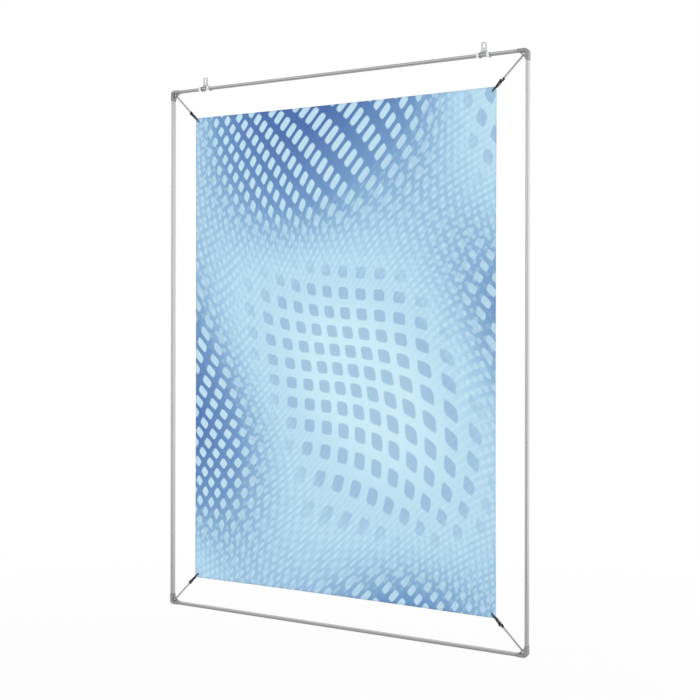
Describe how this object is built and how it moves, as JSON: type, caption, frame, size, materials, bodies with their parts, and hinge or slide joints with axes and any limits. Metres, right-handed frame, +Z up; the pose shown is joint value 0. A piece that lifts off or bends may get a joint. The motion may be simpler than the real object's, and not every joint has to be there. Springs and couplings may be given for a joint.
{
  "type": "fabric tension frame",
  "caption": "Slim hanging rectangular frame that stretches a printed fabric sheet by its corners with spring clips on elastic cords.",
  "frame": {"origin": "midway between the two hanger eyes, at the height where the eyes bear on what they hang from", "axes": "+X to the right along the top rail, +Y to the back, +Z up; the print faces -Y"},
  "size_m": [0.7028, 0.0134, 0.9681],
  "materials": {
    "satin_aluminium": "satin anodised, fine lengthwise grain",
    "grey_plastic": "moulded, satin",
    "black_nylon": "moulded, satin",
    "spring_steel": "bright",
    "grey_elastic": "braided textile over a rubber core",
    "crimp_aluminium": "plain",
    "printed_fabric": "printed polyester, matte",
    "clear_plastic": "clear to milky, moulded"
  },
  "bodies": {
    "frame": {"top_rail": "satin_aluminium", "bottom_rail": "satin_aluminium", "left_rail": "satin_aluminium", "right_rail": "satin_aluminium", "printed_sheet": "printed_fabric", "corner_top_right": "grey_plastic", "cord_top_right": "grey_elastic", "cord_stop_outer_top_right": "crimp_aluminium", "corner_bottom_right": "grey_plastic", "cord_bottom_right": "grey_elastic", "cord_stop_outer_bottom_right": "crimp_aluminium", "corner_bottom_left": "grey_plastic", "cord_bottom_left": "grey_elastic", "cord_stop_outer_bottom_left": "crimp_aluminium", "corner_top_left": "grey_plastic", "cord_top_left": "grey_elastic", "cord_stop_outer_top_left": "crimp_aluminium"},
    "left_hanger": {"hanger_left": "clear_plastic"},
    "right_hanger": {"hanger_right": "clear_plastic"},
    "clip_top_right": {"clip_base_top_right": "black_nylon", "clip_pin_top_right": "spring_steel", "clip_spring_top_right": "spring_steel", "cord_stop_inner_top_right": "crimp_aluminium"},
    "jaw_top_right": {"clip_lever_top_right": "black_nylon"},
    "clip_bottom_right": {"clip_base_bottom_right": "black_nylon", "clip_pin_bottom_right": "spring_steel", "clip_spring_bottom_right": "spring_steel", "cord_stop_inner_bottom_right": "crimp_aluminium"},
    "jaw_bottom_right": {"clip_lever_bottom_right": "black_nylon"},
    "clip_bottom_left": {"clip_base_bottom_left": "black_nylon", "clip_pin_bottom_left": "spring_steel", "clip_spring_bottom_left": "spring_steel", "cord_stop_inner_bottom_left": "crimp_aluminium"},
    "jaw_bottom_left": {"clip_lever_bottom_left": "black_nylon"},
    "clip_top_left": {"clip_base_top_left": "black_nylon", "clip_pin_top_left": "spring_steel", "clip_spring_top_left": "spring_steel", "cord_stop_inner_top_left": "crimp_aluminium"},
    "jaw_top_left": {"clip_lever_top_left": "black_nylon"}
  },
  "joints": [
    {"name": "left_hanger_slide", "type": "slide", "parent": "frame", "child": "left_hanger", "axis": [1, 0, 0], "range_m": [-0.04, 0.262]},
    {"name": "right_hanger_slide", "type": "slide", "parent": "frame", "child": "right_hanger", "axis": [1, 0, 0], "range_m": [-0.262, 0.04]},
    {"name": "clip_top_right_pull", "type": "slide", "parent": "frame", "child": "clip_top_right", "axis": [0.7071, 0, 0.7071], "range_m": [-0.003, 0.012], "stiffness_N_per_m": 300, "deforming": ["cord_top_right"]},
    {"name": "jaw_top_right_hinge", "type": "hinge", "parent": "clip_top_right", "child": "jaw_top_right", "pos_m": [0.30025, 0, -0.06765], "axis": [-0.7071, 0, 0.7071], "range_deg": [0, 7], "stiffness_Nm_per_rad": 0.1, "springref_deg": -45.84, "deforming": ["clip_spring_top_right"]},
    {"name": "clip_bottom_right_pull", "type": "slide", "parent": "frame", "child": "clip_bottom_right", "axis": [0.7071, 0, -0.7071], "range_m": [-0.003, 0.012], "stiffness_N_per_m": 300, "deforming": ["cord_bottom_right"]},
    {"name": "jaw_bottom_right_hinge", "type": "hinge", "parent": "clip_bottom_right", "child": "jaw_bottom_right", "pos_m": [0.30025, 0, -0.91515], "axis": [0.7071, 0, 0.7071], "range_deg": [0, 7], "stiffness_Nm_per_rad": 0.1, "springref_deg": -45.84, "deforming": ["clip_spring_bottom_right"]},
    {"name": "clip_bottom_left_pull", "type": "slide", "parent": "frame", "child": "clip_bottom_left", "axis": [-0.7071, 0, -0.7071], "range_m": [-0.003, 0.012], "stiffness_N_per_m": 300, "deforming": ["cord_bottom_left"]},
    {"name": "jaw_bottom_left_hinge", "type": "hinge", "parent": "clip_bottom_left", "child": "jaw_bottom_left", "pos_m": [-0.30025, 0, -0.91515], "axis": [0.7071, 0, -0.7071], "range_deg": [0, 7], "stiffness_Nm_per_rad": 0.1, "springref_deg": -45.84, "deforming": ["clip_spring_bottom_left"]},
    {"name": "clip_top_left_pull", "type": "slide", "parent": "frame", "child": "clip_top_left", "axis": [-0.7071, 0, 0.7071], "range_m": [-0.003, 0.012], "stiffness_N_per_m": 300, "deforming": ["cord_top_left"]},
    {"name": "jaw_top_left_hinge", "type": "hinge", "parent": "clip_top_left", "child": "jaw_top_left", "pos_m": [-0.30025, 0, -0.06765], "axis": [-0.7071, 0, -0.7071], "range_deg": [0, 7], "stiffness_Nm_per_rad": 0.1, "springref_deg": -45.84, "deforming": ["clip_spring_top_left"]}
  ]
}
